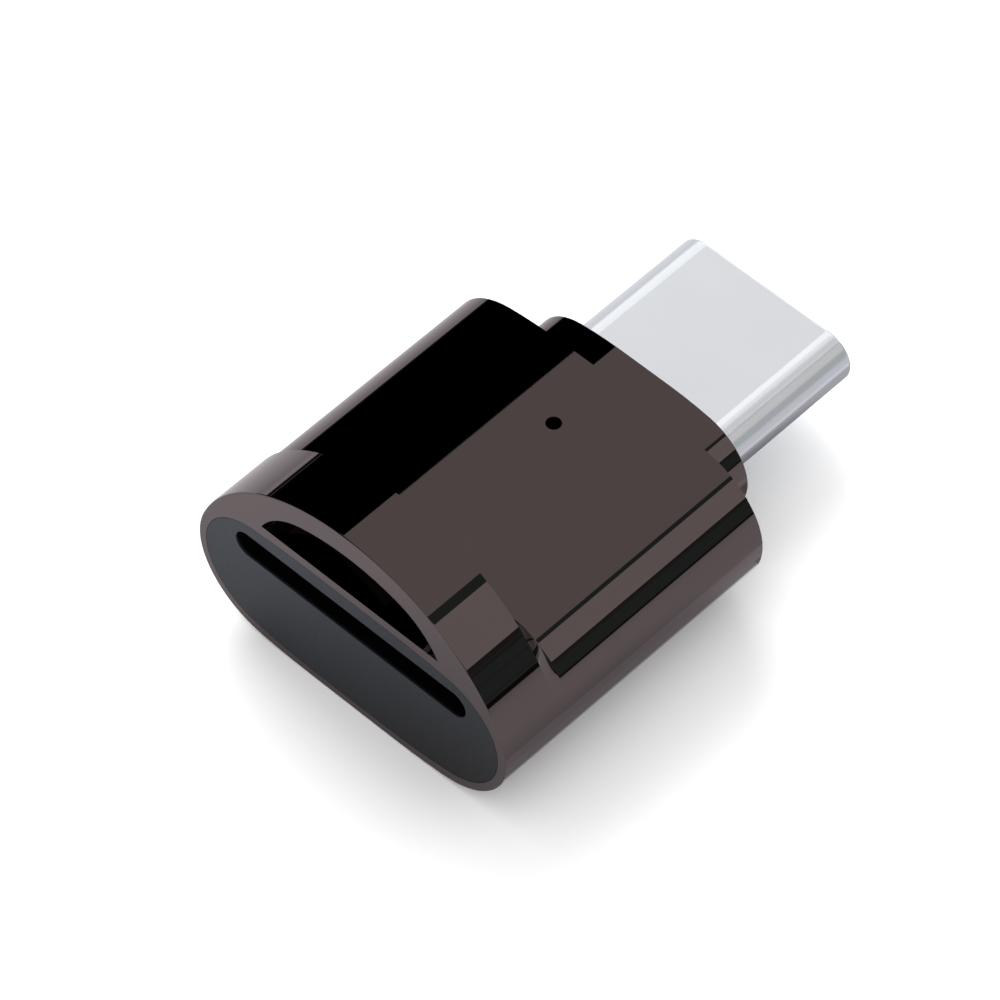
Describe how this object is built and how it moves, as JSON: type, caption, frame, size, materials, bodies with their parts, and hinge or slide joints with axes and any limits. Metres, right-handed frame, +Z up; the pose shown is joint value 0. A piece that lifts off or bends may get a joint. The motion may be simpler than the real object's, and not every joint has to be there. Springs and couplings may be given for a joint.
{
  "type": "usb memory card reader",
  "caption": "Thumb-sized memory card reader with a one-piece glossy metal shell, a strap eye over the card slot and a reversible plug.",
  "frame": {"origin": "middle of the outer box's bottom, on the plane of the flat underside", "axes": "+X across the width, +Y from the card end to the plug tip, +Z up out of the flat top"},
  "size_m": [0.015, 0.0218, 0.0097],
  "materials": {
    "shell_metal": "mirror gloss, dark gunmetal",
    "insert_plastic": "slate grey, satin",
    "plug_steel": "satin nickel",
    "black_plastic": "matte black",
    "gold_contact": "gold plated",
    "spring_steel": "bright",
    "board_laminate": "green solder mask",
    "ceramic_tan": "matte ceramic",
    "lamp_resin": "clear resin"
  },
  "bodies": {
    "root": {"housing_shell": "shell_metal", "front_insert": "insert_plastic", "circuit_board": "board_laminate", "plug_shell": "plug_steel", "plug_front_insulator": "black_plastic", "plug_rear_insulator": "black_plastic", "plug_upper_contacts": "gold_contact", "plug_lower_contacts": "gold_contact", "plug_latch_plate": "spring_steel", "plug_upper_ground_spring": "spring_steel", "plug_lower_ground_spring": "spring_steel", "card_socket_base": "black_plastic", "card_socket_cover": "spring_steel", "card_contacts": "gold_contact", "card_sense_blade": "gold_contact", "controller_chip": "black_plastic", "clock_crystal": "spring_steel", "voltage_regulator": "black_plastic", "capacitors": "ceramic_tan", "resistors": "black_plastic", "indicator_lamp": "lamp_resin"}
  },
  "joints": []
}
